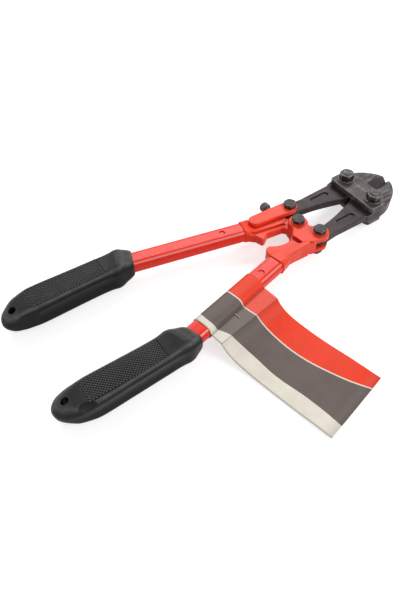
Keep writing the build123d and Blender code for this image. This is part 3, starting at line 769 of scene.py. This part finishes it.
rubberLook = {
    "dark": (0.027, 0.0263, 0.0262, 1), "light": (0.043, 0.0420, 0.0416, 1), "wornGlint": (0.12, 0.116, 0.115, 1),
    "hollow": (0.004, 0.004, 0.004, 1), "hollowDepth": 1.2 * mm, "hollowReach": 0.9,
    "edgeRadius": 1.2 * mm, "breakup": 300.0, "reach": 0.2, "wearGlintShare": 0.45,
    "fine": 2200.0, "coarse": 70.0, "bump": 0.3, "bumpDepth": 0.1 * mm,
    "roughLow": 0.27, "roughHigh": 0.42, "metallic": 0.0, "specular": 0.09, "coat": 0.0, "coatRough": 0.3,
    # wall: painted shade on side walls, scoop and panel floors; rim: painted highlight on the rounded rims;
    # edge colour partly painted highlight
    "wall": (0.0090, 0.0086, 0.0086, 1), "wallFrom": 0.2, "wallTo": 0.6, "wallShare": 0.85,
    "rim": (0.165, 0.160, 0.158, 1), "rimFrom": 0.55, "rimMid": 0.84, "rimTo": 0.99, "rimShare": 0.75,
    "rimBreak": {"scale": 160.0, "detail": 4.0, "rough": 0.6, "spread": (0.3, 0.6), "strength": (0.4, 1.0)},
    "scoopEdge": 0.1 * mm, "scoopShare": 0.65,
    "panelEdge": 0.1 * mm, "panelNear": 0.06 * mm, "panelUpright": 0.985, "panelShare": 0.8,
}


def rimGlintAndShade(tree, coords, colour, look):
    # painted highlight pales the rounded rims; painted shade darkens the side walls, the round scoop and the
    # panel floors
    place = splitVector(tree, coords)
    upright = uprightness(tree)
    wall = addRange(tree, upright, look["wallTo"], look["wallFrom"], 0.0, look["wallShare"])
    colour = addMix(tree, wall, colour, look["wall"])
    peak = addPeak(tree, upright, look["rimFrom"], look["rimMid"], look["rimTo"])
    rim = addProduct(tree, peak, addPatches(tree, coords, look["rimBreak"]), look["rimShare"])
    colour = addMix(tree, rim, colour, look["rim"])
    scoop = gripSettings["scoop"]
    scoopAt = [size * mm for size in (scoop["x"], scoop["y"], gripSettings["middle"] + scoop["up"])]
    away = addNode(tree, "ShaderNodeVectorMath", {0: coords, 1: scoopAt}, operation="DISTANCE")
    near = addMath(tree, "LESS_THAN", away.outputs["Value"], scoop["radius"] * mm + look["scoopEdge"])
    colour = addMix(tree, addProduct(tree, near, look["scoopShare"]), colour, look["wall"])
    panel = gripSettings["panel"]
    depth = addGap(tree, place["Z"], gripSettings["middle"] * mm)
    level = addMath(tree, "LESS_THAN", addGap(tree, depth, panel["floor"] * mm), look["panelNear"])
    ahead = addMath(tree, "GREATER_THAN", place["X"], panel["from"] * mm - look["panelEdge"])
    flat = addMath(tree, "GREATER_THAN", upright, look["panelUpright"])
    return addMix(tree, addProduct(tree, level, ahead, flat, look["panelShare"]), colour, look["wall"])


gripRubber = wearAndShadeMaterial("gripRubber", rubberLook, rimGlintAndShade)
for name, side, body, node in (("upperGripRubber", 1, "handle_upper", "upper_grip"),
                               ("lowerGripRubber", -1, "handle_lower", "lower_grip")):
    grip = makeGrip(name, side, gripSettings)
    setFinish(grip, gripRubber)
    setFinish(nodes[node], gripRubber)
    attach(grip, body)
    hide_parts(node)
print("grips shaped")


# repeated detail by geometry nodes

def newGeometryTree(name, inputs):
    tree = bpy.data.node_groups.new(name, "GeometryNodeTree")
    tree.interface.new_socket("Geometry", in_out="INPUT", socket_type="NodeSocketGeometry")
    for socket, kind, value in inputs:
        tree.interface.new_socket(socket, in_out="INPUT", socket_type=kind).default_value = value
    tree.interface.new_socket("Geometry", in_out="OUTPUT", socket_type="NodeSocketGeometry")
    return tree, addNode(tree, "NodeGroupInput").outputs, addNode(tree, "NodeGroupOutput")


def finishTree(tree, geometry, out, material):
    real = addNode(tree, "GeometryNodeRealizeInstances", {"Geometry": geometry}).outputs["Geometry"]
    painted = addNode(tree, "GeometryNodeSetMaterial", {"Geometry": real, "Material": material})
    setInputs(tree, out, {"Geometry": painted.outputs["Geometry"]})


def growMesh(tree):
    # run the tree on an empty mesh and keep the outcome as a plain mesh
    holder = newObject("grow", bpy.data.meshes.new("grow"))
    modifier = holder.modifiers.new("grow", "NODES")
    modifier.node_group = tree
    bpy.context.view_layer.update()
    seen = holder.evaluated_get(bpy.context.evaluated_depsgraph_get())
    mesh = bpy.data.meshes.new_from_object(seen)
    bpy.data.objects.remove(holder)
    return mesh


def placeGrown(name, tree, places, material, body):
    # copies of one grown mesh joined as a single piece
    grown = growMesh(tree)
    vertices = []
    faces = []
    for place in places:
        base = len(vertices)
        vertices += [place @ v.co for v in grown.vertices]
        faces += [[base + i for i in face.vertices] for face in grown.polygons]
    bpy.data.meshes.remove(grown)
    mesh = bpy.data.meshes.new(name)
    mesh.from_pydata(vertices, [], faces)
    mesh.materials.append(material)
    piece = newObject(name, mesh)
    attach(piece, body)


knurlSettings = {
    "sunk": 0.05 * mm, "pitch": 2.5 * mm, "rowPitch": 2.35 * mm, "columns": 25, "rows": 8,
    "height": 0.46 * mm, "wide": 1.06 * mm, "crest": 0.56 * mm, "studSides": 4,
}


def buildKnurl(cfg, material):
    # staggered lattice of blunt diamonds, flat on the XY plane
    tree, given, out = newGeometryTree("gripKnurl", [
        ("Pitch", "NodeSocketFloat", cfg["pitch"]), ("Row Pitch", "NodeSocketFloat", cfg["rowPitch"]),
        ("Columns", "NodeSocketInt", cfg["columns"]), ("Rows", "NodeSocketInt", cfg["rows"]),
        ("Height", "NodeSocketFloat", cfg["height"]), ("Wide", "NodeSocketFloat", cfg["wide"]),
        ("Crest", "NodeSocketFloat", cfg["crest"]),
    ])
    joined = addNode(tree, "GeometryNodeJoinGeometry")
    for fewer in (0.0, 1.0):
        columns = addMath(tree, "SUBTRACT", given["Columns"], fewer)
        rows = addMath(tree, "SUBTRACT", given["Rows"], fewer)
        sizeX = addProduct(tree, addMath(tree, "SUBTRACT", columns, 1.0), given["Pitch"])
        sizeY = addProduct(tree, addMath(tree, "SUBTRACT", rows, 1.0), given["Row Pitch"])
        grid = addNode(tree, "GeometryNodeMeshGrid", {
            "Size X": sizeX, "Size Y": sizeY, "Vertices X": columns, "Vertices Y": rows})
        tree.links.new(grid.outputs["Mesh"], joined.inputs["Geometry"])
    points = addNode(tree, "GeometryNodeMeshToPoints", {"Mesh": joined.outputs["Geometry"]})
    stud = addNode(tree, "GeometryNodeMeshCone", {
        "Vertices": cfg["studSides"], "Radius Top": given["Crest"], "Radius Bottom": given["Wide"],
        "Depth": given["Height"]})
    placed = addNode(tree, "GeometryNodeInstanceOnPoints", {
        "Points": points.outputs["Points"], "Instance": stud.outputs["Mesh"]})
    finishTree(tree, placed.outputs["Instances"], out, material)
    return tree


def knurlPlaces(cfg, panel, side):
    # on the panel above, and turned over on the panel below
    x = (panel["from"] + panel["to"]) / 2 * mm
    y = side * panel["y"] * mm
    floor = panel["floor"] * mm - cfg["sunk"]
    above = Matrix.Translation((x, y, middleHeight + floor))
    below = Matrix.Translation((x, y, middleHeight - floor))
    return [above, below @ Matrix.Rotation(math.pi, 4, "X")]


# the studs take the grip's rubber in paler tones: painted highlight on the diamond tops
knurlHighlightLook = {
    **rubberLook,
    "dark": (0.098, 0.0955, 0.0950, 1), "light": (0.138, 0.1345, 0.1335, 1), "wornGlint": (0.16, 0.156, 0.155, 1),
}

knurlHighlightRubber = wearAndShadeMaterial("knurlHighlightRubber", knurlHighlightLook)
knurlTree = buildKnurl(knurlSettings, knurlHighlightRubber)
for name, side, body in (("upperGripKnurl", 1, "handle_upper"), ("lowerGripKnurl", -1, "handle_lower")):
    places = knurlPlaces(knurlSettings, gripSettings["panel"], side)
    placeGrown(name, knurlTree, places, knurlHighlightRubber, body)
print("grip knurl laid")


# thread and head of the adjusting screw, both built along Z and then laid along Y

threadSettings = {
    "place": (-6.5 * mm, 28.7 * mm, middleHeight), "turns": 4.5, "pitch": 1.0 * mm, "radius": 2.9 * mm,
    "tooth": 0.38 * mm, "toothSides": 4, "steps": 28,
}


def buildThread(cfg, material):
    # ridge of the exposed thread as one swept spiral
    tree, given, out = newGeometryTree("screwThread", [
        ("Turns", "NodeSocketFloat", cfg["turns"]), ("Pitch", "NodeSocketFloat", cfg["pitch"]),
        ("Radius", "NodeSocketFloat", cfg["radius"]), ("Tooth", "NodeSocketFloat", cfg["tooth"]),
        ("Steps", "NodeSocketInt", cfg["steps"]),
    ])
    spiral = addNode(tree, "GeometryNodeCurveSpiral", {
        "Resolution": given["Steps"], "Rotations": given["Turns"],
        "Height": addProduct(tree, given["Turns"], given["Pitch"]),
        "Start Radius": given["Radius"], "End Radius": given["Radius"]})
    profile = addNode(tree, "GeometryNodeCurvePrimitiveCircle", {
        "Resolution": cfg["toothSides"], "Radius": given["Tooth"]})
    ridge = addNode(tree, "GeometryNodeCurveToMesh", {
        "Curve": spiral.outputs["Curve"], "Profile Curve": profile.outputs["Curve"], "Fill Caps": True})
    finishTree(tree, ridge.outputs["Mesh"], out, material)
    return tree


headSettings = {
    "place": (-6.5 * mm, 36.2 * mm, middleHeight), "ribs": 30, "radius": 4.16 * mm, "rib": 0.3 * mm,
    "ribSides": 4, "long": 4.4 * mm,
}


def buildHeadRibs(cfg, material):
    # straight ribs round the screw head
    tree, given, out = newGeometryTree("headRibs", [
        ("Ribs", "NodeSocketInt", cfg["ribs"]), ("Radius", "NodeSocketFloat", cfg["radius"]),
        ("Rib", "NodeSocketFloat", cfg["rib"]), ("Long", "NodeSocketFloat", cfg["long"]),
    ])
    ring = addNode(tree, "GeometryNodeMeshCircle", {"Vertices": given["Ribs"], "Radius": given["Radius"]})
    points = addNode(tree, "GeometryNodeMeshToPoints", {"Mesh": ring.outputs["Mesh"]})
    spot = splitVector(tree, addNode(tree, "GeometryNodeInputPosition").outputs["Position"])
    turn = addNode(tree, "ShaderNodeCombineXYZ", {"Z": addMath(tree, "ARCTAN2", spot["Y"], spot["X"])})
    rib = addNode(tree, "GeometryNodeMeshCylinder", {
        "Vertices": cfg["ribSides"], "Radius": given["Rib"], "Depth": given["Long"]})
    placed = addNode(tree, "GeometryNodeInstanceOnPoints", {
        "Points": points.outputs["Points"], "Instance": rib.outputs["Mesh"],
        "Rotation": turn.outputs["Vector"]})
    finishTree(tree, placed.outputs["Instances"], out, material)
    return tree


layAlongY = Matrix.Rotation(-math.pi / 2, 4, "X")
for name, build, cfg in (("screwThread", buildThread, threadSettings),
                         ("screwHeadRibs", buildHeadRibs, headSettings)):
    place = Matrix.Translation(cfg["place"]) @ layAlongY
    placeGrown(name, build(cfg, blackOxide), [place], blackOxide, "adjuster")
print("screw thread and head ribs laid")


# camera where the photograph was taken from, image 400 by 600

cameraSettings = {
    "place": (-261.7 * mm, -235.7 * mm, 343.9 * mm), "lens": 32.4, "sensor": 36.0, "clipStart": 10.0 * mm,
    "right": (0.8277, -0.5611, 0.0), "forward": (0.3496, 0.5156, -0.7822),
}


def makeCamera(cfg):
    data = bpy.data.cameras.new("photoCamera")
    data.lens = cfg["lens"]
    data.sensor_width = cfg["sensor"]
    data.sensor_fit = "AUTO"
    data.clip_start = cfg["clipStart"]
    camera = newObject("photoCamera", data)
    back = -Vector(cfg["forward"]).normalized()
    right = Vector(cfg["right"]).normalized()
    up = back.cross(right)
    turn = Matrix((right, up, back)).transposed().to_4x4()
    camera.matrix_world = Matrix.Translation(cfg["place"]) @ turn
    scene.camera = camera


makeCamera(cameraSettings)


# pale floor and soft light

stageSettings = {
    "floorSize": 8.0, "shadowColour": (0.75, 0.75, 0.75, 1), "bounceColour": (0.8, 0.8, 0.8, 1),
    "white": (1, 1, 1, 1), "paleStrength": 0.65, "farStrength": 0.82, "farFrom": 0.4, "farTo": 1.3,
    "skyStrength": 0.36, "skySeen": 1.0,
    "lamps": {
        "key": {"place": (0.6, 0.95, 1.15), "size": (1.3, 0.6), "power": 15.0},
        "fill": {"place": (0.5, -0.8, 0.7), "size": (0.5, 0.5), "power": 5.5},
    },
}


def seenRays(tree):
    path = addNode(tree, "ShaderNodeLightPath").outputs
    total = addMath(tree, "ADD", path["Is Camera Ray"], path["Is Glossy Ray"])
    return addMath(tree, "ADD", total, path["Is Transmission Ray"], clamp=True)


def makeFloor(cfg):
    half = cfg["floorSize"] / 2
    corners = [(-half, -half, 0), (half, -half, 0), (half, half, 0), (-half, half, 0)]
    mesh = bpy.data.meshes.new("floor")
    mesh.from_pydata(corners, [], [(0, 1, 2, 3)])
    floor = newObject("floor", mesh)
    # white to the eye with its shadow kept, dimmer in the light it throws back
    material, tree, surface = blankMaterial("paleFloor")
    bounce = addNode(tree, "ShaderNodeBsdfDiffuse", {"Color": cfg["bounceColour"]}).outputs[0]
    matte = addNode(tree, "ShaderNodeBsdfDiffuse", {"Color": cfg["shadowColour"]}).outputs[0]
    away = addNode(tree, "ShaderNodeVectorMath", {0: objectCoords(tree)}, operation="LENGTH")
    glow = addRange(tree, away.outputs["Value"], cfg["farFrom"], cfg["farTo"],
                    cfg["paleStrength"], cfg["farStrength"])
    pale = addNode(tree, "ShaderNodeEmission", {"Color": cfg["white"], "Strength": glow}).outputs[0]
    shown = addNode(tree, "ShaderNodeAddShader", {0: matte, 1: pale}).outputs[0]
    mixed = addNode(tree, "ShaderNodeMixShader", {0: seenRays(tree), 1: bounce, 2: shown})
    tree.links.new(mixed.outputs[0], surface)
    mesh.materials.append(material)


def makeSky(cfg):
    world = bpy.data.worlds.new("softSky")
    scene.world = world
    world.use_nodes = True
    tree = world.node_tree
    tree.nodes.clear()
    dim, bright = [addNode(tree, "ShaderNodeBackground", {"Color": cfg["white"], "Strength": strength})
                   for strength in (cfg["skyStrength"], cfg["skySeen"])]
    both = addNode(tree, "ShaderNodeMixShader", {0: seenRays(tree), 1: dim.outputs[0], 2: bright.outputs[0]})
    addNode(tree, "ShaderNodeOutputWorld", {"Surface": both.outputs[0]})


def makeLamps(cfg):
    for name, lamp in cfg["lamps"].items():
        data = bpy.data.lights.new(name, "AREA")
        data.shape = "RECTANGLE"
        data.size, data.size_y = lamp["size"]
        data.energy = lamp["power"]
        made = newObject(name, data)
        made.location = lamp["place"]
        made.rotation_mode = "QUATERNION"
        made.rotation_quaternion = (-made.location).to_track_quat("-Z", "Y")


makeFloor(stageSettings)
makeSky(stageSettings)
makeLamps(stageSettings)
scene.view_settings.view_transform = "Standard"
print("camera, floor and light in place")
